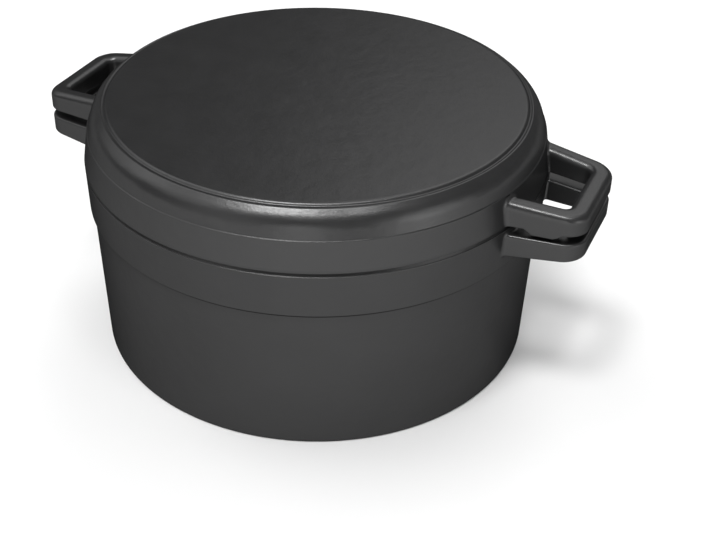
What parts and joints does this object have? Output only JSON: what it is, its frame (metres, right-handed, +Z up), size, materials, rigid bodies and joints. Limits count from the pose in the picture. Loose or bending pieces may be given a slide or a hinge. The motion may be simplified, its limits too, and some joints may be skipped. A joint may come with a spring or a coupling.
{
  "type": "dutch oven",
  "caption": "Deep round iron pot with a shallow skillet upside down on it as its lid; both have loop handles cast in one, and the lid lifts off.",
  "frame": {"origin": "centre of the pot's underside, on the surface it stands on", "axes": "+Z up through the pot and lid; the loop handles lie along +X and -X"},
  "size_m": [0.3392, 0.27, 0.1508],
  "materials": {
    "pot_iron": "fine satin cast skin, seasoned black",
    "lid_iron": "fine satin cast skin, seasoned black"
  },
  "bodies": {
    "pot": {"pot": "pot_iron"},
    "lid": {"lid": "lid_iron"}
  },
  "joints": [
    {"name": "lid_lift", "type": "slide", "parent": "pot", "child": "lid", "axis": [0, 0, 1], "range_m": [0, 0.15]}
  ]
}
